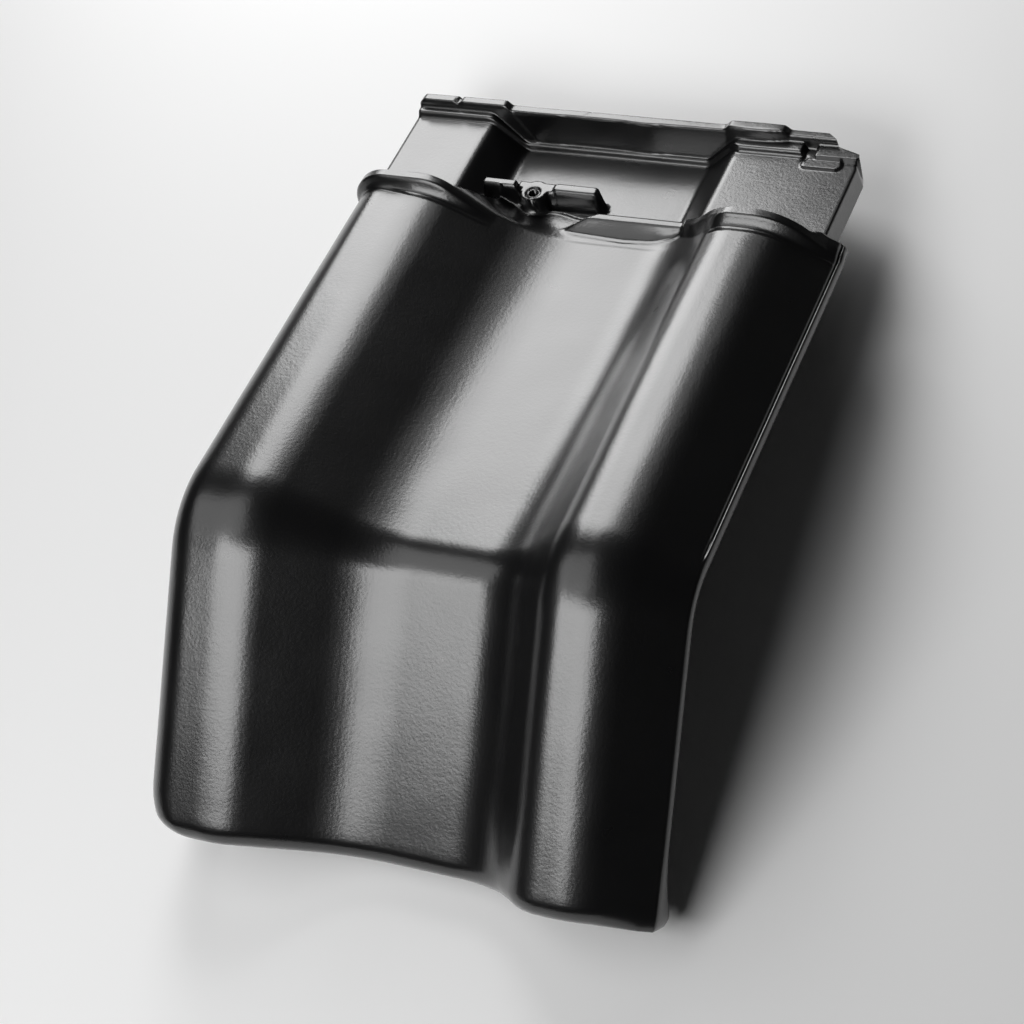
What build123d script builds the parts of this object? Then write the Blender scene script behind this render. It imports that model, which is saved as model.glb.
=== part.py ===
from build123d import *
from math import atan2, cos, degrees, radians, sin
import os

os.makedirs("parts", exist_ok=True)

# Overall sizes, mm and degrees
width = 300.0
wall = 12.0
head_length = 98.0
upper_length = 220.5
lower_length = 157.0
knee_angle = 47.0
knee_radius = 32.0

# Rolls and pan of the body, heights above the face of the pan
left_roll_height = 34.3
left_corner_radius = 24.3
left_crest_end = 49.6
left_slope_foot = 113.6
right_roll_height = 33.3
right_slope_width = 26.0
right_pan_margin = 94.3
right_crest_length = 29.0
right_edge_height = 11.6
right_edge_foot = 7.4
skirt_depth = 16.0
foot_rounding = 11.0
flare_length = 46.0
flare_drop = 15.0

# Sealing rib and groove along the covering edge, lap rib under the foot
edge_rib_margin = 18.0
edge_rib_width = 11.0
edge_rib_drop = 7.0
edge_run_back = 17.0
edge_groove_margin = 2.4
edge_groove_width = 1.4
foot_rib_depth = 3.5
foot_rib_width = 9.0
foot_rib_margin = 16.0

# Lowered head that the tile above covers
head_inset_left = 4.0
head_inset_right = 14.0
left_corner_cut = 5.0
right_corner_cut = 26.0
left_flat_height = 16.0
left_flat_end = 52.0
right_flat_height = 14.0
right_flat_width = 77.0
recess_depth = 3.0
recess_left = 71.0
recess_right_margin = 110.5
pan_run_back = 34.0

# Rim at the head edge with its two lugs, the shelf at its end and the bead at its foot
rim_thickness = 5.0
rim_height = 22.5
rim_end_margin = 29.0
shelf_start_margin = 40.0
shelf_end_margin = 16.0
shelf_rise = 3.0
shelf_depth = 15.0
lug_rise = 3.5
left_lug_end = 62.0
lug_notch_place = 28.5
lug_notch_width = 3.0
right_lug_start = 203.0
right_lug_length = 37.0
right_lug_thickness = 6.5
bead_depth = 5.0
bead_height = 4.0
bead_end_margin = 50.0
pad_length = 27.0
pad_width = 10.0
pad_rise = 1.2

# Lips over the rolls
lip_length = 12.0
lip_slope = 6.0
lip_rise = 7.2
lip_overhang = 3.0
left_lip_reach = 27.6

# Weather bar across the pan
bar_back = 28.0
bar_top_width = 4.0
bar_height = 7.5
bar_top_start = 138.0
bar_foot_start = 121.0
bar_bulge = 14.7

# Dam at the edge of the recess with the nail hole
dam_front = 35.0
dam_top = 12.0
dam_plate_top = 17.0
dam_plate_start = 65.5
dam_plate_thickness = 4.0
dam_block_end = 140.5
dam_block_width = 10.0
boss_radius = 8.5
nail_hole_radius = 3.2
nail_hole_across = 98.5
nail_hole_back = 36.5

# Batten nibs under the head
nib_width = 26.0
nib_depth = 14.0
nib_length = 13.0
nib_spacing = 84.0
nib_margin = 4.0


# Across from the left edge is X, back from the step is Y, up from the pan is Z
def station(down):
    return Plane(origin=(0, -down, 0), x_dir=(1, 0, 0), z_dir=(0, -1, 0))


def upright(across):
    return Plane(origin=(across, 0, 0), x_dir=(0, 1, 0), z_dir=(1, 0, 0))


def inset(points, depth):
    """Corner points of the line that runs parallel to the given one, depth below it."""
    legs = [Vector(*b) - Vector(*a) for a, b in zip(points, points[1:])]
    normals = [Vector(leg.Y, -leg.X).normalized() for leg in legs]
    before = normals[:1] + normals
    after = normals + normals[-1:]
    moves = [(a + b) * (depth / (1 + a.dot(b))) for a, b in zip(before, after)]
    return [(point[0] + move.X, point[1] + move.Y) for point, move in zip(points, moves)]


def inset_radii(points, radii, depth, smallest=1.5):
    """Corner radii for that parallel line: larger in the hollows, smaller on the crests."""
    legs = [Vector(*b) - Vector(*a) for a, b in zip(points, points[1:])]
    hollow = [a.cross(b).Z > 0 for a, b in zip(legs, legs[1:])]
    return [r + depth if deep else max(r - depth, smallest) for r, deep in zip(radii, hollow)]


def band(plane, points, radii, top_end, top_end_radii):
    """Section of constant wall: a top line, its ends, and the parallel line under it."""
    with BuildSketch(plane) as section:
        with BuildLine():
            top = FilletPolyline(*points, *top_end, radius=radii + top_end_radii)
            under = FilletPolyline(*inset(points, wall), radius=inset_radii(points, radii, wall))
            Line(top @ 0, under @ 0)
            Line(top @ 1, under @ 1)
        make_face()
    return section.sketch


def shape(plane, points, radii):
    """Closed outline with a radius at each corner."""
    with BuildSketch(plane) as section:
        with BuildLine():
            FilletPolyline(*points, radius=radii, close=True)
        make_face()
    return section.sketch


def sharp(plane, *points):
    with BuildSketch(plane) as section:
        with BuildLine():
            Polyline(*points, close=True)
        make_face()
    return section.sketch


# Places across the tile that several features share
slope_start = width - right_pan_margin
crest_start = slope_start + right_slope_width
crest_end = crest_start + right_crest_length
recess_right = width - recess_right_margin
right_flat_end = width - head_inset_right
right_flat_start = right_flat_end - right_flat_width
mid_wall = wall / 2

# Outline of the body, left to right along the top
body_points = [
    (0, -skirt_depth),
    (0, left_roll_height),
    (left_crest_end, left_roll_height),
    (left_slope_foot, 0),
    (slope_start, 0),
    (crest_start, right_roll_height),
    (crest_end, right_roll_height),
    (width, right_edge_height),
]
body_radii = [left_corner_radius, 49.0, 48.0, 15.0, 29.0, 55.0]
edge_end = [(width, right_edge_foot)]
edge_radius = 3.5

# Outline of the lowered head
head_points = [
    (head_inset_left, -skirt_depth),
    (head_inset_left, left_flat_height),
    (left_flat_end, left_flat_height),
    (recess_left, -recess_depth),
    (recess_right, -recess_depth),
    (right_flat_start, right_flat_height),
    (right_flat_end, right_flat_height),
    (right_flat_end + 1.5, 1.0),
]
head_radii = [3.0, 8.0, 8.0, 6.0, 8.0, 1.5]
head_middle = inset(head_points, mid_wall)[1:7]


def body_section(plane):
    outline = band(plane, body_points, body_radii, edge_end, [edge_radius])
    rib_left = width - edge_rib_margin
    rib_right = rib_left + edge_rib_width
    rib_top = right_edge_foot + 1.5
    rib_foot = right_edge_foot - edge_rib_drop
    rib = sharp(
        plane,
        (rib_left, rib_top),
        (rib_left + 1.5, rib_foot),
        (rib_right - 2.5, rib_foot),
        (rib_right, rib_top),
    )
    return outline + rib


# Planes at the two ends of the knee and at the foot
knee_start = station(upper_length)
knee_axis = Axis((0, -upper_length, -knee_radius), (1, 0, 0))
bend = radians(knee_angle)
knee_end = Plane(
    origin=(0, -upper_length - knee_radius * sin(bend), -knee_radius + knee_radius * cos(bend)),
    x_dir=(1, 0, 0),
    z_dir=(0, -cos(bend), -sin(bend)),
)
foot = knee_end.offset(lower_length)

# Upper part, knee and lower part in one even wall
with BuildPart() as body:
    extrude(body_section(station(0)), amount=upper_length)
    revolve(body_section(knee_start), axis=knee_axis, revolution_arc=knee_angle)
    extrude(body_section(knee_end), amount=lower_length)

    # Lap rib under the pan, above the foot
    extrude(
        sharp(
            knee_end.offset(lower_length - foot_rib_margin - foot_rib_width),
            (left_slope_foot, -mid_wall),
            (left_slope_foot + 3, -wall - foot_rib_depth),
            (slope_start - 3, -wall - foot_rib_depth),
            (slope_start, -mid_wall),
        ),
        amount=foot_rib_width,
    )

    # Covering edge drawn down towards its corner at the foot
    flare_steps = []
    for share in (0, 0.4, 0.7, 1):
        drop = flare_drop * share**2
        flare_steps.append(
            sharp(
                foot.offset(flare_length * (share - 1)),
                (width - 10, 6),
                (width, right_edge_foot + 1.5),
                (width, right_edge_foot - drop + 0.2),
                (width - 6, 1.3 - drop * 0.6),
            )
        )
    loft(flare_steps)

    # Rounded outer edge of the foot
    flared_edge = (width, right_edge_foot - flare_drop)
    with BuildLine(foot, mode=Mode.PRIVATE) as foot_line:
        FilletPolyline(*body_points, flared_edge, radius=body_radii + [edge_radius])
    foot_face = body.faces().filter_by(lambda face: abs(foot.to_local_coords(face.center()).Z) < 0.01)
    foot_edges = foot_face.edges().filter_by(
        lambda edge: all(foot_line.line.distance_to(edge.position_at(t)) < 0.05 for t in (0.1, 0.5, 0.9))
    )
    fillet(foot_edges, radius=min(foot_rounding, wall - 1))

# Lowered head
with BuildPart() as head:
    extrude(band(station(-head_length), head_points, head_radii, [], []), amount=head_length)

# Rim wall with the left lug
rim_end = width - rim_end_margin
with BuildPart() as rim:
    extrude(
        shape(
            station(-head_length),
            [
                (head_inset_left + 1, left_flat_height - mid_wall),
                (head_inset_left + 1, rim_height + 1),
                (head_inset_left + 5, rim_height + lug_rise),
                (left_lug_end - 4, rim_height + lug_rise),
                (left_lug_end, rim_height),
                (rim_end, rim_height),
                (rim_end, right_flat_height - mid_wall),
                *reversed(head_middle[:-1]),
            ],
            [0, 1, 2, 2, 3, 5, 0] + [0] * (len(head_middle) - 1),
        ),
        amount=rim_thickness,
    )

    # Right lug, a little thicker than the rim
    right_lug_end = right_lug_start + right_lug_length
    extrude(
        shape(
            station(-head_length),
            [
                (right_lug_start, rim_height - 3),
                (right_lug_start, rim_height),
                (right_lug_start + 4, rim_height + lug_rise),
                (right_lug_end - 4, rim_height + lug_rise),
                (right_lug_end, rim_height),
                (right_lug_end, rim_height - 3),
            ],
            [0, 1, 2, 2, 1, 0],
        ),
        amount=right_lug_thickness,
    )
    fillet(rim.faces().sort_by(Axis.Z)[-1].edges().filter_by(Axis.X), radius=0.8)

    # Notch across the left lug
    with BuildSketch(Plane.XY.offset(rim_height + lug_rise - 2)):
        with Locations((lug_notch_place, head_length)):
            Rectangle(lug_notch_width, rim_thickness + 1)
    extrude(amount=3, mode=Mode.SUBTRACT)

    # Bead at the foot of the rim, with the step near its right end
    bead_end = width - bead_end_margin
    raised = [(across, height + bead_height) for across, height in head_points[1:6]]
    extrude(
        shape(
            station(-head_length + rim_thickness),
            raised
            + [(bead_end, right_flat_height + bead_height), (bead_end, right_flat_height - mid_wall)]
            + [*reversed(head_middle[:-1])]
            + [(head_inset_left, left_flat_height - mid_wall)],
            [3, 8, 8, 6, 8, 1.5] + [0] * (len(head_middle) + 1),
        ),
        amount=bead_depth,
    )

    # Low shelf at the right end of the rim
    shelf_start = width - shelf_start_margin
    with BuildSketch(Plane.XY.offset(right_flat_height - 1)):
        with Locations((shelf_start, head_length)):
            shelf_length = shelf_start_margin - shelf_end_margin
            Rectangle(shelf_length, shelf_depth, align=(Align.MIN, Align.MAX))
    extrude(amount=1 + shelf_rise)

    # Flat pad in front of the shelf
    with BuildSketch(Plane.XY.offset(right_flat_height - 1)):
        with Locations((bead_end + 1, head_length - shelf_depth + 1)):
            RectangleRounded(pad_length, pad_width, 4, align=(Align.MIN, Align.MAX))
    extrude(amount=1 + pad_rise)

# Pan and roll slopes running back behind the lips to the edge of the recess
run_back_left = recess_left + 8
with BuildPart() as apron:
    extrude(
        sharp(
            station(-pan_run_back),
            (run_back_left, -recess_depth - mid_wall),
            (run_back_left, 0),
            (slope_start, 0),
            (slope_start, -recess_depth - mid_wall),
        ),
        amount=pan_run_back,
    )
    slope_left = left_flat_end + 12
    slope_rate = left_roll_height / (left_slope_foot - left_crest_end)
    slope_top = slope_rate * (left_slope_foot - slope_left)
    slope_steps = []
    for back, share in ((pan_run_back, 0), (27, 0.2), (20, 0.68), (14, 0.97), (9, 1), (0, 1)):
        slope_steps.append(
            sharp(
                station(-back),
                (slope_left, 1),
                (slope_left, 4.5 + (slope_top - 4.5) * share),
                (run_back_left + 5 + (left_slope_foot - run_back_left - 5) * share, -1 + share),
                (run_back_left + 5, -recess_depth - mid_wall),
            )
        )
    loft(slope_steps)

# Foot of the right roll's slope, cut off along the sweep between weather bar and lip
sweep_line = [(recess_right + 3, pan_run_back), (slope_start - 6, 25), (slope_start + 13, 12)]
sweep_area = sweep_line + [(crest_start + 2, 12), (crest_start + 2, 0), (recess_right + 3, 0)]
with BuildPart() as sweep_prism:
    extrude(sharp(Plane.XY.offset(-recess_depth - mid_wall), *sweep_area), amount=60)
with BuildPart() as slope_root:
    extrude(
        shape(
            station(-pan_run_back),
            [
                (recess_right, -recess_depth - mid_wall),
                (recess_right, 0),
                (slope_start, 0),
                (crest_start, right_roll_height),
                (crest_end - 8, right_roll_height),
                (crest_end - 8, right_flat_height - mid_wall),
                (right_flat_start + 4, right_flat_height - mid_wall),
            ],
            [0, 0, body_radii[3], body_radii[4], 0, 0, 0],
        ),
        amount=pan_run_back,
    )
    add(sweep_prism.part, mode=Mode.INTERSECT)
with BuildPart() as sweep_clearing:
    extrude(
        sharp(
            station(-pan_run_back),
            (recess_right - 20, 0),
            (slope_start, 0),
            (crest_start, right_roll_height),
            (crest_start, right_roll_height + 10),
            (recess_right - 20, right_roll_height + 10),
        ),
        amount=pan_run_back,
    )
    add(sweep_prism.part, mode=Mode.INTERSECT)

# Lip outlines: the raised ridge and the body line that it runs down to
lip_start = left_roll_height - left_corner_radius - 5
left_lip_foot = (left_slope_foot - left_lip_reach, slope_rate * left_lip_reach)
left_lip_root = [(left_lip_foot[0], -1), (72, -5), (52, 9), (head_inset_left + 3, 5)]
left_ridge = [
    (-lip_overhang, lip_start),
    (-lip_overhang, left_roll_height + lip_rise),
    (left_crest_end + 4.5, left_roll_height + lip_rise),
    left_lip_foot,
]
left_run_out = [
    (0, lip_start),
    (0, left_roll_height),
    (left_crest_end, left_roll_height),
    left_lip_foot,
]
right_lip_start = (slope_start + right_slope_width / 2, right_roll_height / 2)
right_lip_root = [(width - 4, 6), (width - 15, 4), (crest_start, 7)]
right_ridge = [
    right_lip_start,
    (crest_start - 1.5, right_roll_height + lip_rise - 0.5),
    (crest_end + 7, right_roll_height + lip_rise - 0.5),
    (width - 3, right_edge_height + 2.6),
]
right_run_out = [
    right_lip_start,
    (crest_start, right_roll_height),
    (crest_end, right_roll_height),
    (width - 3, right_edge_height + 1.6),
]


# Each lip is a flat ridge, then a slope down to the body
with BuildPart() as lips:
    for ridge, run_out, root, ridge_radii, run_out_radii in (
        (left_ridge, left_run_out, left_lip_root, [24, 30], body_radii[0:2]),
        (right_ridge, right_run_out, right_lip_root, [14, 45], [12, body_radii[5]]),
    ):
        root_radii = [0] * len(root)
        outline = [ridge + root, [0, *ridge_radii, 0] + root_radii]
        extrude(shape(station(-lip_length), *outline), amount=lip_length - lip_slope)
        slope_back = shape(station(-lip_slope), *outline)
        slope_front = shape(station(0), run_out + root, [0, *run_out_radii, 0] + root_radii)
        loft([slope_back, slope_front], ruled=True)

# Ridge that sweeps from the weather bar up to the right lip
with BuildPart() as sweep_ridge:
    for across, back, top, front, base, under in (
        (slope_start - 8, bar_back, bar_height, 20, -0.5, -6),
        (slope_start + 7, 19, 18, 7, 9, 3),
        (crest_start + 2, lip_length, right_roll_height + 5, -0.5, right_roll_height - 3, 8),
    ):
        with BuildSketch(upright(across)):
            with BuildLine():
                Polyline(
                    (back, under),
                    (back, top),
                    (back - bar_top_width, top),
                    (front, base),
                    (front, under),
                    close=True,
                )
            make_face()
    loft()

# Weather bar: a narrow flat top, a bulging slope in front and a slanted left end
with BuildPart() as weather_bar:
    bar_end = slope_start - 6
    with BuildSketch(Plane.XY.offset(-1)):
        with BuildLine():
            Polyline((bar_end, 20), (bar_end, bar_back), (bar_top_start - 4, bar_back), (bar_foot_start, 19))
            ThreePointArc((bar_foot_start, 19), ((bar_foot_start + bar_end) / 2, bar_bulge), (bar_end, 20))
        make_face()
    with BuildSketch(Plane.XY.offset(bar_height)):
        with BuildLine():
            Polyline(
                (bar_end, bar_back - bar_top_width),
                (bar_end, bar_back),
                (bar_top_start, bar_back),
                (bar_top_start + 3, bar_back - bar_top_width),
            )
            ThreePointArc(
                (bar_top_start + 3, bar_back - bar_top_width),
                ((bar_top_start + bar_end) / 2, bar_back - bar_top_width - 0.5),
                (bar_end, bar_back - bar_top_width),
            )
        make_face()
    loft(ruled=True)

# Dam: thin plate, nail boss and block in a row
with BuildPart() as dam:
    dam_foot = -recess_depth - mid_wall
    extrude(
        shape(
            station(-dam_front - dam_plate_thickness),
            [
                (dam_plate_start + 6.5, dam_foot),
                (dam_plate_start + 6.5, 0),
                (dam_plate_start, dam_plate_top),
                (nail_hole_across - 10, dam_plate_top),
                (nail_hole_across - 5, dam_top),
                (nail_hole_across - 5, dam_foot),
            ],
            [0, 0, 0.8, 0.8, 0, 0],
        ),
        amount=dam_plate_thickness,
    )
    block_start = nail_hole_across + boss_radius + 2
    with BuildSketch(Plane.XY.offset(dam_foot)):
        with Locations((nail_hole_across, nail_hole_back + 1.5)):
            Circle(boss_radius)
        with Locations((nail_hole_across, dam_front + 3)):
            Rectangle(2 * boss_radius + 4, dam_block_width - 3, align=(Align.CENTER, Align.MIN))
        with Locations((block_start, dam_front)):
            block_length = dam_block_end - block_start
            RectangleRounded(block_length, dam_block_width, 3.5, align=(Align.MIN, Align.MIN))
    extrude(amount=dam_top - dam_foot)
    fillet(dam.faces().sort_by(Axis.Z)[-2].edges(), radius=0.9)

# Free end of the covering edge beside the lip
with BuildPart() as edge_end_piece:
    extrude(
        shape(
            station(-edge_run_back),
            [
                (width - edge_rib_margin, 5),
                (width - 6, 1.2),
                (width, right_edge_foot),
                (width, right_edge_height + 2),
                (width - 8, right_edge_height + 5),
            ],
            [0, 0, 0, 2.5, 0],
        ),
        amount=edge_run_back + 0.5,
    )
    fillet(edge_end_piece.faces().sort_by(Axis.Y)[-1].edges(), radius=2)

# Batten nibs under the head
with BuildPart() as nibs:
    nib_middle = (recess_left + recess_right) / 2
    nib_root = -recess_depth - wall + 2
    with BuildSketch(Plane.XY.offset(nib_root)):
        with Locations((nib_middle, head_length - nib_margin - nib_length / 2)):
            with GridLocations(nib_spacing, 1, 2, 1):
                RectangleRounded(nib_width, nib_length, 3)
    extrude(amount=-nib_depth - 2)

# Plan outlines of the two cut-off back corners
left_cut = [
    (-1, head_length - left_corner_cut),
    (head_inset_left + left_corner_cut, head_length + 1),
    (-1, head_length + 1),
]
right_cut = [
    (width, head_length - 20),
    (right_flat_end - 1.5, head_length - 9.5),
    (right_flat_end - right_corner_cut, head_length + 0.5),
    (width, head_length + 0.5),
]

with BuildPart() as verge_tile:
    add(head.part)
    add(sweep_clearing.part, mode=Mode.SUBTRACT)
    for feature in (apron, slope_root, body, lips, sweep_ridge, weather_bar, rim, dam, edge_end_piece, nibs):
        add(feature.part)

    # Back corners of head and rim cut off
    for cut in (left_cut, right_cut):
        extrude(
            sharp(Plane.XY.offset(-skirt_depth - 1), *cut),
            amount=skirt_depth + rim_height + 10,
            mode=Mode.SUBTRACT,
        )

    # Nail hole through boss and recess floor
    with BuildSketch(Plane.XY.offset(-recess_depth - wall - 1)):
        with Locations((nail_hole_across, nail_hole_back)):
            Circle(nail_hole_radius)
    extrude(amount=recess_depth + wall + dam_top + 2, mode=Mode.SUBTRACT)

    # Fine groove along the covering edge
    groove_place = width - edge_groove_margin
    extrude(
        sharp(
            station(-lip_length - 2),
            (groove_place - edge_groove_width / 2, right_edge_height + 3),
            (groove_place, right_edge_height),
            (groove_place + edge_groove_width / 2, right_edge_height + 3),
        ),
        amount=lip_length + 2 + upper_length,
        mode=Mode.SUBTRACT,
    )

# Set down on its batten nibs and foot, knee up, centred over the floor
head_touch = Vector(0, head_length - nib_margin - nib_length, -recess_depth - wall - nib_depth)
foot_touch = foot.from_local_coords(Vector(wall / 2, -skirt_depth, 0))
climb = degrees(atan2(head_touch.Z - foot_touch.Z, head_touch.Y - foot_touch.Y))
tilted = verge_tile.part.rotate(Axis.X, -climb)
box = tilted.bounding_box()
verge_tile.part = tilted.translate(Vector(-box.center().X, -box.center().Y, -box.min.Z))
verge_tile.part.label = "verge_tile"
export_step(verge_tile.part, "parts/verge_tile.step")
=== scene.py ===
from math import atan2, cos, pi, radians, sin, tau

import bmesh
import bpy
import numpy as np
from mathutils import Euler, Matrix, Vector


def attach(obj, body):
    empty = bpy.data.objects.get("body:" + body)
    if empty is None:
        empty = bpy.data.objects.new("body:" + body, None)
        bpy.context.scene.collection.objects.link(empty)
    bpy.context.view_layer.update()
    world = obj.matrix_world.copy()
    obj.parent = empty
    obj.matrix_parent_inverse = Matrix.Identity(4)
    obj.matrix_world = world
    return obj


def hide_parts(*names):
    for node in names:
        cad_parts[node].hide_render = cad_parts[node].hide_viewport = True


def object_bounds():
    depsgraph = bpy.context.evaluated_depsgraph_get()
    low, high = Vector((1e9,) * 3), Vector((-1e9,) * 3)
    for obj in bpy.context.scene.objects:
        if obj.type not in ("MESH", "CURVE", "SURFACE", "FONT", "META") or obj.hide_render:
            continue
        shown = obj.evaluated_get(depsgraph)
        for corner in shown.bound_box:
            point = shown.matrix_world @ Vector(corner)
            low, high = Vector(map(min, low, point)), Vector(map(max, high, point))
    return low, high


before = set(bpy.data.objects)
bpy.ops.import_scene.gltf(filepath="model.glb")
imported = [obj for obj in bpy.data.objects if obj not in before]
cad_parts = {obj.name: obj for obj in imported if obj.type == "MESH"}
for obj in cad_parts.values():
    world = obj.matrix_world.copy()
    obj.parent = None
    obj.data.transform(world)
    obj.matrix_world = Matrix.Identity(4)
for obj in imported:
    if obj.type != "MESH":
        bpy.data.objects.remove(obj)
cad_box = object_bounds()

# Body of the tile
# One sheet of clay pressed in an even wall, with a roll along each side and a pan between
# them. Sizes in mm: u runs across from the left edge, v down the slope from the step at
# the lips, w up from the face of the pan. It is modelled straight and bent further down.
width = 300.0
skirt = -16.0
upper_length = 220.5
knee_radius = 32.0
knee_angle = radians(47)
knee_length = knee_radius * knee_angle
lower_length = 157.0
lower_start = upper_length + knee_length
foot = lower_start + lower_length
head_end = -98.0
draw_length = 46.0
foot_radius = 11.0
arc_steps = 14
body_points = [(0, skirt), (0, 34.3), (49.6, 34.3), (113.6, 0), (196, 0), (229, 33.3), (260.7, 33.3),
               (width, 11.6), (width, 7.4)]
body_radii = [20, 60, 92, 48, 27, 55, 3.5]


def rounded(points, radii):
    """A line through the points with an arc of the given radius at each inner corner."""
    points = [np.array(point, float) for point in points]
    line = [points[0]]
    for before, corner, after, radius in zip(points, points[1:], points[2:], radii):
        back = (before - corner) / np.linalg.norm(before - corner)
        ahead = (after - corner) / np.linalg.norm(after - corner)
        half = np.arccos(np.clip(back @ ahead, -1, 1)) / 2
        centre = corner + (back + ahead) / np.linalg.norm(back + ahead) * radius / sin(half)
        start = corner + back * radius / np.tan(half) - centre
        end = corner + ahead * radius / np.tan(half) - centre
        turn = pi - 2 * half
        for t in np.linspace(0, 1, arc_steps):
            line.append(centre + (start * sin((1 - t) * turn) + end * sin(t * turn)) / sin(turn))
    return np.array(line + [points[-1]])


def spaced(*stops):
    """Places from the first stop to the last, each stretch with its own spacing."""
    places = []
    for (start, step), (end, _) in zip(stops, stops[1:]):
        places += list(np.linspace(start, end, max(1, round((end - start) / step)), endpoint=False))
    return np.array(places + [stops[-1][0]])


# The section's points are shared out in fixed columns, so that every row of the mesh meets
# the next: some up the left side, one at each place across the top, some down the right.
top_start, top_end = 24.3, 285.0
top_columns = spaced((top_start, 1.6), (60, 1.0), (126, 1.5), (180, 1.0), (top_end, 1.0))
left_shares = np.linspace(0, 1, 38)[:-1]
right_shares = np.linspace(0, 1, 31)[1:]


def shared(line, shares):
    """Points at the given shares of a line's length."""
    lengths = np.r_[0, np.cumsum(np.hypot(*np.diff(line, axis=0).T))]
    return np.column_stack([np.interp(shares * lengths[-1], lengths, line[:, k]) for k in (0, 1)])


def columns(line):
    """A section's points, column by column: the left side, the top and the right side."""
    first = np.argmax(line[:, 0] > top_start - 1e-6)
    last = np.argmax(line[:, 0] > top_end)
    heights = np.interp(top_columns, line[first - 1:last + 1, 0], line[first - 1:last + 1, 1])
    left = np.vstack([line[:first], (top_start, heights[0])])
    right = np.vstack([(top_end, heights[-1]), line[last:]])
    return np.vstack([shared(left, left_shares), np.column_stack([top_columns, heights]),
                      shared(right, right_shares)])


body_line = rounded(body_points, body_radii)
body = columns(body_line)
rows = spaced((head_end, 0.35), (-97, 0.45), (-84, 0.85), (-46, 0.65), (-33, 0.85), (-13.2, 0.35),
              (-10.8, 0.75), (1.8, 6), (upper_length - 6, 2), (upper_length, 1.4), (lower_start, 2),
              (lower_start + 6, 5.5), (foot - draw_length, 4), (foot - foot_radius, 3))
U = np.tile(body[:, 0], (len(rows), 1))
V = np.repeat(rows[:, None], len(body), axis=1)

# Lowered head
# The part that the tile above covers: a flat on each side and a shallow recess between
# them. Behind the lips the slope of the left roll sinks back to the edge of the recess.
left_flat, right_flat = 16, 14
recess_left, recess_right, recess_floor = 71, 189.5, -3
head_right = 285.5
head_points = [(0, skirt), (0, left_flat), (52, left_flat), (recess_left, recess_floor),
               (recess_right, recess_floor), (209, right_flat), (head_right, right_flat), (287.5, 0.5)]
head_radii = [3, 8, 8, 6, 8, 1.5]
pan_back = -34.0
lip_back = -12
slope_shift, slope_run = 29.6, 25
body_area = [(-60, lip_back), (62, lip_back), (77, pan_back), (192.5, pan_back), (199.7, -25),
             (218.7, lip_back), (281, lip_back), (287, -17), (400, -17), (400, 700), (-60, 700)]
head_line = rounded(head_points, head_radii)
head = columns(head_line)


def smooth(t):
    """From 0 to 1 as t does, with no kink at either end."""
    t = np.clip(t, 0, 1)
    return t * t * (3 - 2 * t)


def inside(u, v, outline):
    """Distance to an outline seen from above, above 0 inside it."""
    nearest = np.full(np.shape(u + v), np.inf)
    wound = np.zeros(nearest.shape, bool)
    for (ua, va), (ub, vb) in zip(outline, outline[1:] + outline[:1]):
        length_squared = (ub - ua) ** 2 + (vb - va) ** 2
        along = np.clip(((u - ua) * (ub - ua) + (v - va) * (vb - va)) / length_squared, 0, 1)
        nearest = np.minimum(nearest, np.hypot(u - ua - along * (ub - ua), v - va - along * (vb - va)))
        if va != vb:
            crosses = ((va > v) != (vb > v)) & (u < (ub - ua) * (v - va) / (vb - va) + ua)
            wound ^= crosses
    return np.where(wound, nearest, -nearest)


body_share = smooth(inside(U, V, body_area) / 1.7 + 0.5)[..., None]
sunk = slope_shift * (1 - smooth((V - pan_back) / slope_run))
left_slope = body_line[2 + arc_steps:]
sunk_height = np.interp(np.minimum(U + sunk, width / 2), left_slope[:, 0], left_slope[:, 1])
section = np.stack([U, np.tile(body[:, 1], (len(rows), 1))], axis=-1)
behind = (V < 0) & (U > top_start) & (U < width / 2)
section[..., 1] = np.where(behind, sunk_height, section[..., 1])

# Lips over the rolls
# A ridge along each roll's back edge that stops rain driven up the slope: flat on top,
# hollow in front, with a fine bead at its foot. The left one wraps round the roll's side.
lip_slope = 6.0
lip_bead = 0.7
lip_overhang = 3.0
left_ridge_end = 86.5
right_ridge_start, right_ridge_end = 218.7, 297
left_ridge = rounded([(0, skirt), (0, 4), (-lip_overhang, 17), (-lip_overhang, 41.5), (54.1, 41.5),
                      (left_ridge_end, 14.5), (90, 12.5)], [6, 14, 24, 30, 3])
right_ridge = rounded([(216, 14), (right_ridge_start, 18.7), (230.2, 40), (267.7, 40),
                       (right_ridge_end, 14), (299, 12.5)], [3, 14, 45, 2])
ridge = body.copy()
first_up = np.argmax(left_ridge[:, 0] > top_start)
ridge_over_top = left_ridge[first_up - 1:].T
left_part = np.vstack([left_ridge[:first_up], (top_start, np.interp(top_start, *ridge_over_top))])
ridge[:len(left_shares)] = shared(left_part, left_shares)
left_top = (body[:, 0] >= top_start) & (body[:, 0] <= left_ridge_end)
ridge[left_top, 1] = np.interp(body[left_top, 0], *ridge_over_top)
right_top = (body[:, 0] >= right_ridge_start) & (body[:, 0] <= right_ridge_end)
ridge[right_top, 1] = np.maximum(np.interp(body[right_top, 0], *right_ridge.T), body[right_top, 1])
foot_line = np.interp(U, [0, 17, 40], [-3.6, -3.2, 0])
lip_share = np.clip((foot_line - V) / (lip_slope + foot_line), 0, 1) ** 1.7
bead_share = np.exp(-((V - foot_line + 0.3) / 0.8) ** 2)
on_lip = smooth(np.abs(ridge - body).sum(axis=1) / 2)
section += (ridge - body) * lip_share[..., None]
section[..., 1] += lip_bead * bead_share * on_lip * (V > -9)

surface = head + (section - head) * body_share
U = surface[..., 0]
W = surface[..., 1]

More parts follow.
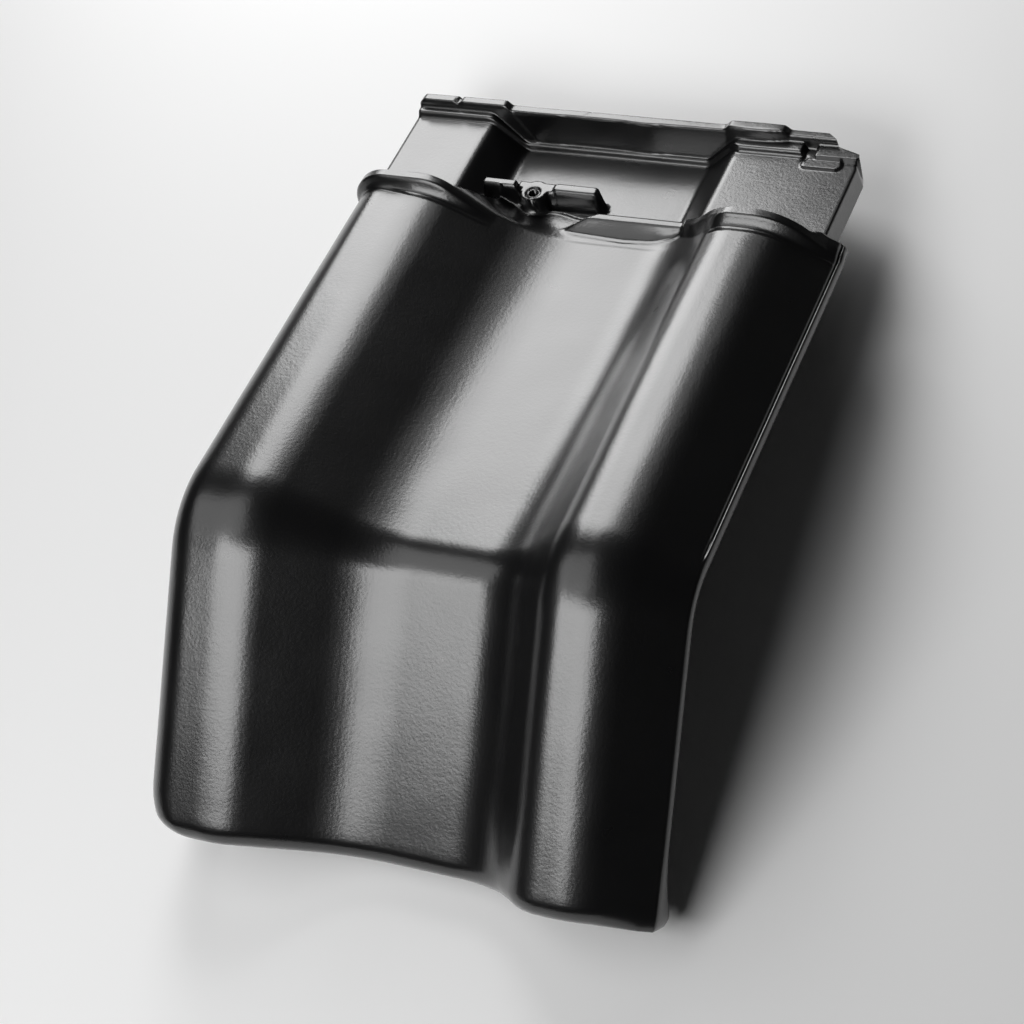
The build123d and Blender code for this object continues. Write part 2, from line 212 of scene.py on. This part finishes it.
# Back right corner of the head
# The corner is cut off in the press so that the tiles of the next course clear it. The
# columns right of the last one that stays straight are squeezed up to the cut.
straight_end = 240
cut_start = -79
corner_u = [262, 270, 283, head_right]
corner_v = [-98.5, -92, -87.5, cut_start]


def cornered(u, v):
    """Places across, squeezed where the corner is cut off."""
    right_end = np.interp(v, corner_v, corner_u)
    squeezed = straight_end + (u - straight_end) * (right_end - straight_end) / (head_right - straight_end)
    return np.where((u > straight_end) & (v < cut_start), squeezed, u)


U = cornered(U, V)

# Weather bar and its sweep
# A low bar across the pan with a narrow flat top and a hollow front, pressed with the tile.
# Its left end is cut at a slant, 13 across for 9 up the slope. On the right it sweeps up the
# flank of the roll into the lip.
bar_height = 7.5
bar_back = -28.0
bar_top = 4.4
bar_left_end, bar_right_end = 134, 204
back_steepness = 6
sweep_start, sweep_end = 196, 240


def blend_up(a, b, soft):
    """The higher of two surfaces, with a hollow of about that size where they meet."""
    return (a + b + np.sqrt((a - b) ** 2 + soft**2)) / 2


def blend_down(a, b, soft):
    """The lower of two surfaces, with a rounded edge of about that size where they meet."""
    return (a + b - np.sqrt((a - b) ** 2 + soft**2)) / 2


bar_foot = np.interp(U, [121, 130, 146, 162, 180, 194, bar_right_end],
                     [-18.5, -15.8, -14.6, -13.4, -15.2, -18.5, -22])
bar_front = bar_height * np.clip((bar_foot - V) / (bar_foot - bar_back - bar_top), 0, 3) ** 1.3
bar_left = ((U - bar_left_end) * 9 + (V - bar_back) * 13) / 15.8 * 1.7 - 1
bar_right = (bar_right_end - U) * 2
bar = blend_down(blend_down(np.minimum(bar_front, bar_right), bar_left, 0.8), bar_height, 0.3)
bar = np.minimum(bar, bar_height - (bar_back - V) * back_steepness)
on_bar = (U > 118) & (U < 206) & (V < -10) & (V > -36)
bar_bead = 0.5 * np.exp(-((V - bar_foot) / 0.9) ** 2) * smooth((U - 122) / 6) * smooth((202 - U) / 8)
W = np.where(on_bar, blend_up(W, bar, 0.7) + bar_bead, W)

sweep_u = [sweep_start, 205, 212.7, 222, 233.7, sweep_end]
sweep_back = np.interp(U, sweep_u, [bar_back, -24, -19, -15, lip_back, lip_back])
sweep_front = np.interp(U, sweep_u, [-20, -14, -8, -3, 0.5, 0.5])
sweep_rise = np.interp(U, sweep_u, [5.2, 5.6, 5.4, 5.2, 5.2, 6.7])
slope_share = np.clip((V - sweep_back - bar_top) / (sweep_front - sweep_back - bar_top), 0, 1)
flank = np.interp(U, *body_line[2 + 2 * arc_steps:].T)
sweep_top = flank + sweep_rise
sweep = sweep_top + (flank - sweep_top) * slope_share**0.8
sweep = np.minimum(sweep, sweep_top - (sweep_back - V) * back_steepness)
on_sweep = (U > sweep_start) & (U < sweep_end - 4) & (V < 3) & (V > -40)
fade = smooth((U - sweep_start) / 4) * smooth((sweep_end - 2 - U) / 6)
W = np.where(on_sweep, W + (blend_up(W, sweep, 0.8) - W) * fade * (slope_share < 1), W)

# Dam with the nail hole
# A row of three at the edge of the recess that holds back water: a thin plate, the boss
# round the nail hole and a longer block with a slanted front. All are pressed with the tile.
dam_front = -35.0
plate_height, boss_height, block_height = 17.0, 11.0, 12.4
nail_u, nail_v, nail_radius = 98.5, -36.5, 3.2
boss_radius = 8.5
block_round = 2.6


def raised(surface, area, top, steep=7.0, edge=0.9, soft=1.2):
    """The surface with a raised piece on it, its sides a little slanted and its edges round."""
    side = blend_down(top + 0 * area, top + 0.4 + steep * area, edge)
    return blend_up(surface, side, soft)


# What stands on the head starts from its top, not from the columns down its side walls.
near = (V < -8) & (U > 0.9) & (U < head_right + 0.1)
top_side = near & (np.arange(U.shape[1]) > 8)
plate = inside(U, V, [(67.5, -39), (88.5, -39), (88.5, dam_front), (67.5, dam_front)])
plate_left = (U - 66) * 2.6 + 2
boss = np.maximum(boss_radius - np.hypot(U - nail_u, V - nail_v + 1.5),
                  inside(U, V, [(87, -45), (110, -45), (110, -38), (87, -38)]))
block = inside(U, V, [(112.5, -42.2), (136.5, -42.2), (136.5, -40.8), (112.5, -40.8)]) + block_round
W_dam = raised(W, plate, plate_height, edge=0.6)
W_dam = np.where(U < 70, np.minimum(W_dam, np.maximum(W, plate_left + 12)), W_dam)
W_dam = raised(W_dam, boss, boss_height)
front_slant = np.minimum(block * 7, (block - 0.4) * np.interp(V, [-41.5, -39], [7, 2.1]))
W_dam = blend_up(W_dam, blend_down(block_height + 0 * block, block_height + front_slant, 1.2), 1.5)
W_dam -= 1.2 * np.exp(-((np.hypot(U - nail_u, V - nail_v) - nail_radius - 0.2) / 1.0) ** 2) * (boss > 0)
edge_v = pan_back + 4.6 * np.exp(-((U - nail_u) / 9) ** 2) + 5 * smooth((U - 108) / 28)
edge_bead = 0.9 * np.exp(-((V - edge_v) / 1.1) ** 2) * smooth((U - 74) / 5) * smooth((139 - U) / 4)
W = np.where(top_side & (V > -60), W_dam + edge_bead, W)

# Rim with its lugs
# A low wall along the head edge, with a bead at its foot. The left lug has a notch in it,
# the right one stands forward, and right of it a shelf and a rounded pad step down.
rim_height = 22.5
lug_rise = 3.5
shelf_height, pad_height = 17.2, 15.2
pad_round = 3.6
rim_wave = 0.4 * smooth((100 - U) / 8) + 0.9 * np.exp(-((U - 150) / 12) ** 2)
rim_front = -93.0 + rim_wave
rim_area = np.minimum(np.minimum(rim_front - V, 271 + 0.5 * (V + 93) - U), U - 1.5)
left_lug = np.minimum(rim_front - V, np.minimum(60 - U, U - 5) / 5)
lug_round = 1.6 * np.clip(np.abs(U - 221.5) / 18, 0, 1.2) ** 2.5
right_lug = np.minimum(-91.4 - lug_round - V, np.minimum(238.5 - U, U - 204.5) / 5)
bead_front = np.interp(U, [205, 212], [-88, -85.2])
head_height = np.interp(U, *head_line[1 + arc_steps:].T)
bead_slope = head_height + 5 + 3.5 * np.minimum(bead_front - V, 250.5 - U)
foot_bead = blend_down(head_height + 4 + 0 * V, bead_slope, 1.5)
shelf = inside(U, V, [(259, -103), (width, -103), (284.5, -83), (259, -83)])
pad = inside(U, V, [(256, -80), (272.5, -80), (272.5, -78.6), (256, -78.6)]) + pad_round
W_rim = blend_up(W, foot_bead, 0.9)
W_rim = raised(W_rim, shelf, shelf_height, soft=0.8)
W_rim = raised(W_rim, pad, pad_height, edge=0.5, soft=0.6)
W_rim = raised(W_rim, rim_area, rim_height)
W_rim = raised(W_rim, left_lug, rim_height + lug_rise)
W_rim = raised(W_rim, right_lug, rim_height + lug_rise, edge=1.5)
notch = np.exp(-((U - 28.5 + 0.25 * (V + 95)) / 1.3) ** 4) * (left_lug > -0.1)
crack = np.exp(-((U - 113 + 0.9 * (V + 95)) / 0.5) ** 2) * smooth(rim_area)
bead_stop = np.exp(-((U - 253) / 1.6) ** 2 - ((V + 83) / 2.2) ** 2)
W_rim -= 2.0 * notch + 0.5 * crack + 1.2 * bead_stop
edge_radius = 1.1
edge_turn = np.clip((head_end + edge_radius - V) / edge_radius, 0, 1)
W = np.where(top_side & (V < -62), W_rim - edge_radius * (1 - np.sqrt(1 - edge_turn**2)), W)

# Covering edge
# The right side laps over the neighbouring tile. A fine groove runs along it, its free end
# stands up behind the lip, and at the foot it is drawn down to a corner.
groove_u, groove_depth, groove_half_width = 297.4, 1.5, 0.55
free_end_rise = 1.8
draw_depth = 15
edge_columns = 7
groove = np.exp(-((U - groove_u) / groove_half_width) ** 2) * (V > -15) * smooth((upper_length - V) / 10)
W -= groove_depth * groove * (U > 290)
W += free_end_rise * smooth((-V - 4) / 8) * smooth((U - 290) / 6) * body_share[..., 0] * (V < 4)
end_share = smooth((np.arange(len(body)) - len(body) + edge_columns + 1) / edge_columns)
W -= draw_depth * np.clip((V - foot + draw_length) / draw_length, 0, 1) ** 2 * end_share

# Rounded foot
# The lower end is wiped round before firing, and its left corner is rounder still. The
# firing also leaves the whole tile a little uneven: wave lengths, heights and phases below.
corner_run, corner_shift = 27, 17
waves = [(310, 190, 0.05, 0.6), (95, 140, 0.04, 2.1), (47, 83, 0.025, 4.0), (71, 36, 0.02, 5.2)]


def round_corner(u, v):
    """Places across, moved in towards the foot's left corner."""
    share = np.clip((v - foot + corner_run) / (corner_run + 1), 0, 1)
    return u + corner_shift * (1 - np.sqrt(1 - share**2)) * smooth((62 - u) / 50)


last = np.stack([U[-1], W[-1]], axis=-1)
ahead = np.gradient(last, axis=0)
ahead /= np.linalg.norm(ahead, axis=1, keepdims=True) + 1e-9
normals = np.stack([-ahead[:, 1], ahead[:, 0]], axis=-1)
thin = np.interp(body[:, 0], [270, 292], [1.0, 0.3])[:, None]
drawn_so_far = ((draw_length - foot_radius) / draw_length) ** 2
for turn in np.linspace(0, 1, 11)[1:] * pi / 2:
    ring = last - normals * foot_radius * (1 - cos(turn)) * thin
    place = foot - foot_radius + foot_radius * sin(turn)
    drawn = np.clip((place - foot + draw_length) / draw_length, 0, 1) ** 2 - drawn_so_far
    rise = 5.0 * smooth((place - foot + 6) / 6) * end_share
    U = np.vstack([U, ring[:, 0]])
    W = np.vstack([W, ring[:, 1] - draw_depth * drawn * end_share + rise])
    V = np.vstack([V, np.full(len(ring), place)])
U = round_corner(U, V)
for long_wave, cross_wave, height, phase in waves:
    W += height * np.sin(tau * (V / long_wave + U / cross_wave) + phase)

# Underside
# Even wall under everything, a sealing rib along the covering edge, a lap rib above the
# foot and two nibs that hang on the batten. All of it is hidden and worked out.
wall = 12.0
nib_spread, nib_depth = 42, 29.0
nib_back, nib_front = 94.0, 81.0
nib_half_core, nib_round = 10, 3.0
recess_middle = (recess_left + recess_right) / 2
under_radii = [12.3, 48, 104, 54, 17, 43]
under_head_radii = [1.5, 1.5, 20, 18, 1.5, 1.5]
under_reach, under_head_reach = 285.0, 271.0


def inset(points, depth):
    """Corner points of the line that runs parallel to the given one, depth below it."""
    points = np.array(points, float)
    legs = np.diff(points, axis=0)
    normals = np.column_stack([legs[:, 1], -legs[:, 0]]) / np.linalg.norm(legs, axis=1)[:, None]
    before, after = np.vstack([normals[:1], normals]), np.vstack([normals, normals[-1:]])
    return points + (before + after) * (depth / (1 + (before * after).sum(axis=1)))[:, None]


def under_columns(line, reach):
    """Like columns(), for a section whose top ends sooner on the right."""
    places = np.interp(top_columns, [0, straight_end, top_end], [0, straight_end, reach])
    first = np.argmax(line[:, 0] > top_start - 1e-6)
    last = np.argmax(line[:, 0] > reach)
    heights = np.interp(places, line[first - 1:last + 1, 0], line[first - 1:last + 1, 1])
    left = np.vstack([line[:first], (top_start, heights[0])])
    right = np.vstack([(reach, heights[-1]), line[last:]])
    return np.vstack([shared(left, left_shares), np.column_stack([places, heights]),
                      shared(right, right_shares)])


under = under_columns(rounded(inset(body_points[:-1], wall), under_radii), under_reach)
under_head = under_columns(rounded(inset(head_points, wall), under_head_radii), under_head_reach)
under_rows = spaced((head_end, 1.7), (-76, 8), (-6, 1.5), (6, 12), (upper_length, 2.8), (lower_start, 10),
                    (foot - 30, 1.4), (foot - 12, 3), (foot, 3))
UV = np.repeat(under_rows[:, None], len(under), axis=1)
share = smooth((UV + 4) / 8)[..., None]
lower = under_head + (under - under_head) * share
UU, UW = cornered(lower[..., 0], UV), lower[..., 1]
for place in (recess_middle - nib_spread, recess_middle + nib_spread):
    left, right = place - nib_half_core, place + nib_half_core
    back, front = nib_round - nib_back, -nib_front - nib_round
    core = [(left, back), (right, back), (right, front), (left, front)]
    UW = -raised(-UW, inside(UU, UV, core) + nib_round, nib_depth, steep=6, edge=1.5)
lap_rib = inside(UU, UV, [(116, foot - 24), (203, foot - 24), (203, foot - 17), (116, foot - 17)])
UW = np.where((UU > 100) & (UU < 220), -raised(-UW, lap_rib, 15.5, steep=2.5), UW)
edge_rib = np.minimum(np.minimum(UU - 283.5, 290.5 - UU), UV - 2)
UW = np.where((UU > 275) & (UV > -4), -raised(-UW, edge_rib, -0.6, steep=3), UW)
UW -= 9 * np.clip((UV - foot + draw_length) / draw_length, 0, 1) ** 2 * end_share
UU = round_corner(UU, UV)

upper_grid = np.stack([U, -V, W], axis=-1) / 1000
under_grid = np.stack([UU, -UV, UW], axis=-1) / 1000
across_count = upper_grid.shape[1]
vertices = np.vstack([upper_grid.reshape(-1, 3), under_grid.reshape(-1, 3)])
upper = np.arange(upper_grid.shape[0] * across_count).reshape(-1, across_count)
below = upper.size + np.arange(under_grid.shape[0] * across_count).reshape(-1, across_count)


def quads(grid):
    """Four-sided faces between the rows and columns of a grid of points."""
    corners = [grid[:-1, :-1], grid[1:, :-1], grid[1:, 1:], grid[:-1, 1:]]
    return np.stack(corners, axis=-1).reshape(-1, 4).tolist()


def zipped(one, one_places, other, other_places):
    """Triangles between two edges whose points lie at different places."""
    faces, i, j = [], 0, 0
    while i < len(one) - 1 or j < len(other) - 1:
        if j == len(other) - 1 or (i < len(one) - 1 and one_places[i + 1] <= other_places[j + 1]):
            faces.append([one[i], one[i + 1], other[j]])
            i += 1
        else:
            faces.append([one[i], other[j + 1], other[j]])
            j += 1
    return faces


faces = quads(upper) + quads(below)
for end in (0, -1):
    faces += quads(np.stack([upper[end], below[end]]))
for side in (0, -1):
    faces += zipped(upper[:, side].tolist(), V[:, side], below[:, side].tolist(), UV[:, side])
tile_mesh = bpy.data.meshes.new("verge_tile_glazed")
tile_mesh.from_pydata(vertices.tolist(), [], faces)
shell = bmesh.new()
shell.from_mesh(tile_mesh)
bmesh.ops.recalc_face_normals(shell, faces=shell.faces)
shell.to_mesh(tile_mesh)
shell.free()
tile = bpy.data.objects.new("verge_tile_glazed", tile_mesh)
bpy.context.scene.collection.objects.link(tile)

# Nail hole
# A plain round hole for a roofing nail, punched through the boss and the wall while the
# clay is soft. A Boolean takes it out of the straight tile, before the knee is bent.
drill_length = 0.06
drill_mesh = bpy.data.meshes.new("nail_hole_drill")
drill = bmesh.new()
bmesh.ops.create_cone(drill, cap_ends=True, segments=40, radius1=nail_radius / 1000,
                      radius2=nail_radius / 1000, depth=drill_length)
bmesh.ops.translate(drill, verts=drill.verts, vec=(nail_u / 1000, -nail_v / 1000, 0))
drill.to_mesh(drill_mesh)
drill.free()
drill_piece = bpy.data.objects.new("nail_hole_drill", drill_mesh)
bpy.context.scene.collection.objects.link(drill_piece)
cut = tile.modifiers.new("nail_hole", "BOOLEAN")
cut.object = drill_piece
cut.solver = "EXACT"

# Glaze
# Black gloss glaze, sprayed on the dried clay and fired with it: a glassy skin with a fine
# orange peel, over a slightly duller base that spreads the shine. The real peel is under
# 1 mm across, and is drawn at 1.8 mm so that it shows. Sizes here are in metres.
peel_size = 0.0018
swell_size = 0.012
patch_size = 0.03


def linear(hex_colour):
    """An sRGB hex colour as linear RGBA."""
    values = [int(hex_colour[i:i + 2], 16) / 255 for i in (1, 3, 5)]
    return [v / 12.92 if v <= 0.04045 else ((v + 0.055) / 1.055) ** 2.4 for v in values] + [1.0]


def add_node(tree, kind, settings=None, links=None):
    """A node with its settings, by socket name or number or by property, and its links."""
    node = tree.nodes.new(kind)
    for name, value in (settings or {}).items():
        if not isinstance(name, int) and hasattr(node, name):
            setattr(node, name, value)
        else:
            node.inputs[name].default_value = value
    for name, source in (links or {}).items():
        tree.links.new(source, node.inputs[name])
    return node


glaze = bpy.data.materials.new("black_gloss_glaze")
glaze.use_nodes = True
tree = glaze.node_tree
tree.nodes.clear()
place = add_node(tree, "ShaderNodeTexCoord").outputs["Object"]
peel = add_node(tree, "ShaderNodeTexNoise", {"Scale": 1 / peel_size, "Detail": 3.0, "Roughness": 0.6},
                {"Vector": place})
swell = add_node(tree, "ShaderNodeTexNoise", {"Scale": 1 / swell_size, "Detail": 2.0}, {"Vector": place})
relief = add_node(tree, "ShaderNodeMath", {"operation": "MULTIPLY_ADD", 1: 0.8},
                  {0: swell.outputs[0], 2: peel.outputs[0]})
bump = add_node(tree, "ShaderNodeBump", {"Strength": 0.58, "Distance": 0.00014},
                {"Height": relief.outputs[0]})
patches = add_node(tree, "ShaderNodeTexNoise", {"Scale": 1 / patch_size, "Detail": 3.0}, {"Vector": place})
gloss = add_node(tree, "ShaderNodeMapRange", {"To Min": 0.25, "To Max": 0.33},
                 {"Value": patches.outputs[0]})
shader = add_node(tree, "ShaderNodeBsdfPrincipled",
                  {"Base Color": linear("#080809"), "IOR": 1.5, "Coat Weight": 0.75,
                   "Coat Roughness": 0.2, "Coat IOR": 1.5},
                  {"Roughness": gloss.outputs[0], "Normal": bump.outputs[0],
                   "Coat Normal": bump.outputs[0]})
add_node(tree, "ShaderNodeOutputMaterial", None, {"Surface": shader.outputs[0]})

# Knee and resting place
# The tile is pressed straight and bent over a former before it dries, so the whole section
# turns down together. It lies on its nibs with the knee up. The climb is reckoned from the
# nibs' front edge, as in the CAD, which leaves the foot about 3 mm above the floor.
sharp_edge = radians(82)
bend = bpy.data.node_groups.new("bend_knee", "GeometryNodeTree")
sizes = {"Knee Start": upper_length / 1000, "Knee Radius": knee_radius / 1000, "Knee Angle": knee_angle}
bend.interface.new_socket("Geometry", in_out="INPUT", socket_type="NodeSocketGeometry")
sockets = {name: bend.interface.new_socket(name, in_out="INPUT", socket_type="NodeSocketFloat")
           for name in sizes}
for name in ("Turn", "Shift"):
    sockets[name] = bend.interface.new_socket(name, in_out="INPUT", socket_type="NodeSocketVector")
bend.interface.new_socket("Geometry", in_out="OUTPUT", socket_type="NodeSocketGeometry")
entry = add_node(bend, "NodeGroupInput")


def maths(operation, *values):
    """A maths node's result; its values are numbers or other nodes' results."""
    node = add_node(bend, "ShaderNodeMath", {"operation": operation})
    for socket, value in zip(node.inputs, values):
        if isinstance(value, (int, float)):
            socket.default_value = value
        else:
            bend.links.new(value, socket)
    return node.outputs[0]


start, radius, angle = (entry.outputs[name] for name in ("Knee Start", "Knee Radius", "Knee Angle"))
position = add_node(bend, "GeometryNodeInputPosition").outputs[0]
parts = add_node(bend, "ShaderNodeSeparateXYZ", None, {0: position})
down_slope = maths("MULTIPLY", parts.outputs["Y"], -1)
round_knee = maths("DIVIDE", maths("SUBTRACT", down_slope, start), radius)
turned = maths("MINIMUM", maths("MAXIMUM", round_knee, 0), angle)
past = maths("MAXIMUM", maths("SUBTRACT", down_slope, maths("MULTIPLY_ADD", radius, angle, start)), 0)
arm = maths("ADD", radius, parts.outputs["Z"])
sine, cosine = maths("SINE", turned), maths("COSINE", turned)
reach = maths("ADD", maths("MINIMUM", down_slope, start),
              maths("MULTIPLY_ADD", past, cosine, maths("MULTIPLY", arm, sine)))
height = maths("SUBTRACT", maths("SUBTRACT", maths("MULTIPLY", arm, cosine), radius),
               maths("MULTIPLY", past, sine))
bent = add_node(bend, "ShaderNodeCombineXYZ", None,
                {"X": parts.outputs["X"], "Y": maths("MULTIPLY", reach, -1), "Z": height})
moved = add_node(bend, "GeometryNodeSetPosition", None,
                 {"Geometry": entry.outputs["Geometry"], "Position": bent.outputs[0]})
laid = add_node(bend, "GeometryNodeTransform", None,
                {"Geometry": moved.outputs[0], "Translation": entry.outputs["Shift"],
                 "Rotation": entry.outputs["Turn"]})
real = add_node(bend, "GeometryNodeRealizeInstances", None, {"Geometry": laid.outputs[0]})
finished = add_node(bend, "GeometryNodeSetMaterial", {"Material": glaze}, {"Geometry": real.outputs[0]})
add_node(bend, "NodeGroupOutput", None, {0: finished.outputs[0]})

nib_touch = Vector((nib_front, -nib_depth))
skirt_arm = knee_radius + skirt
foot_touch = Vector((-(upper_length + skirt_arm * sin(knee_angle) + lower_length * cos(knee_angle)),
                     skirt_arm * cos(knee_angle) - knee_radius - lower_length * sin(knee_angle)))
climb = atan2(nib_touch.y - foot_touch.y, nib_touch.x - foot_touch.x)
lug_top = rim_height + lug_rise
shift = Vector((cad_box[0][0] + lip_overhang / 1000,
                cad_box[1][1] - (-head_end * cos(climb) + lug_top * sin(climb)) / 1000,
                (nib_back * sin(climb) - nib_touch.y * cos(climb)) / 1000))
modifier = tile.modifiers.new("bend_knee", "NODES")
modifier.node_group = bend
for name, value in sizes.items():
    modifier[sockets[name].identifier] = value
modifier[sockets["Turn"].identifier] = (-climb, 0.0, 0.0)
modifier[sockets["Shift"].identifier] = tuple(shift)
bpy.context.view_layer.update()
finished_mesh = bpy.data.meshes.new_from_object(tile.evaluated_get(bpy.context.evaluated_depsgraph_get()))
tile.modifiers.clear()
tile.data = finished_mesh
bpy.data.objects.remove(drill_piece)
finished_mesh.polygons.foreach_set("use_smooth", [True] * len(finished_mesh.polygons))
finished_mesh.set_sharp_from_angle(angle=sharp_edge)
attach(tile, "root")
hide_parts("verge_tile")

# Camera
# Place, turn and lens fitted to the tile's outline in the photograph: from the front right,
# well above the tile.
camera_data = bpy.data.cameras.new("camera")
camera_data.lens = 94.80978
camera_data.sensor_width = 36.0
camera = bpy.data.objects.new("camera", camera_data)
bpy.context.scene.collection.objects.link(camera)
camera.location = (0.61814, -0.58592, 1.28917)
camera.rotation_euler = Euler([radians(a) for a in (29.25648, 17.79755, 18.91737)])
bpy.context.scene.camera = camera

# Floor
# Matt white studio paper. The lamps stand near and leave the paper dark further off, so it
# is paler there where it is seen or mirrored, which lights nothing and keeps the shadow.
near_edge, far_edge = 0.7, 1.9
far_paleness = 0.75
bpy.ops.mesh.primitive_plane_add(size=12)
floor = bpy.context.object
floor.name = "floor"
paper = bpy.data.materials.new("white_studio_floor")
paper.use_nodes = True
tree = paper.node_tree
surface = tree.nodes["Principled BSDF"]
surface.inputs["Base Color"].default_value = linear("#f2f2f2")
surface.inputs["Roughness"].default_value = 0.9
surface.inputs["Emission Color"].default_value = linear("#ffffff")
rays = add_node(tree, "ShaderNodeLightPath").outputs
mirrored = add_node(tree, "ShaderNodeMath", {"operation": "MAXIMUM"},
                    {0: rays["Is Camera Ray"], 1: rays["Is Glossy Ray"]})
any_sight = add_node(tree, "ShaderNodeMath", {"operation": "MAXIMUM"},
                     {0: mirrored.outputs[0], 1: rays["Is Transmission Ray"]})
from_middle = add_node(tree, "ShaderNodeVectorMath", {"operation": "LENGTH"},
                       {0: add_node(tree, "ShaderNodeTexCoord").outputs["Object"]})
paleness = add_node(tree, "ShaderNodeMapRange",
                    {"From Min": near_edge, "From Max": far_edge, "To Max": far_paleness},
                    {"Value": from_middle.outputs["Value"]})
glow = add_node(tree, "ShaderNodeMath", {"operation": "MULTIPLY"},
                {0: paleness.outputs[0], 1: any_sight.outputs[0]})
tree.links.new(glow.outputs[0], surface.inputs["Emission Strength"])
floor.data.materials.append(paper)

# Light
# Soft boxes at the directions that the highlights in the photograph give: one behind on the
# left, one in front, and two weak ones that lift the fading parts. All else is nearly dark.
world = bpy.data.worlds.new("world")
bpy.context.scene.world = world
world.use_nodes = True
world.node_tree.nodes["Background"].inputs["Color"].default_value = linear("#ffffff")
world.node_tree.nodes["Background"].inputs["Strength"].default_value = 0.02


def softbox(name, azimuth, elevation, distance, size, radiance, aim=(0, 0, 0.08)):
    """A rectangular lamp seen from the tile at that azimuth from +Y and elevation."""
    data = bpy.data.lights.new(name, "AREA")
    data.shape = "RECTANGLE"
    data.size, data.size_y = size
    data.energy = radiance * pi * size[0] * size[1]
    lamp = bpy.data.objects.new(name, data)
    turn, rise = radians(azimuth), radians(elevation)
    away = Vector((sin(turn) * cos(rise), cos(turn) * cos(rise), sin(rise)))
    lamp.location = Vector(aim) + away * distance
    lamp.rotation_euler = away.to_track_quat("Z", "Y").to_euler()
    bpy.context.scene.collection.objects.link(lamp)


softbox("rear_softbox", -58, 32, 0.85, (0.52, 0.8), 6.2, aim=(0.21, 0.46, 0.12))
softbox("rear_fill", -4, 38, 1.5, (0.5, 0.6), 0.7)
softbox("front_softbox", -162, 46, 1.1, (0.74, 0.5), 6.0)
softbox("top_fill", -105, 64, 1.2, (0.8, 0.8), 1.5)

bpy.context.scene.view_settings.view_transform = "Standard"
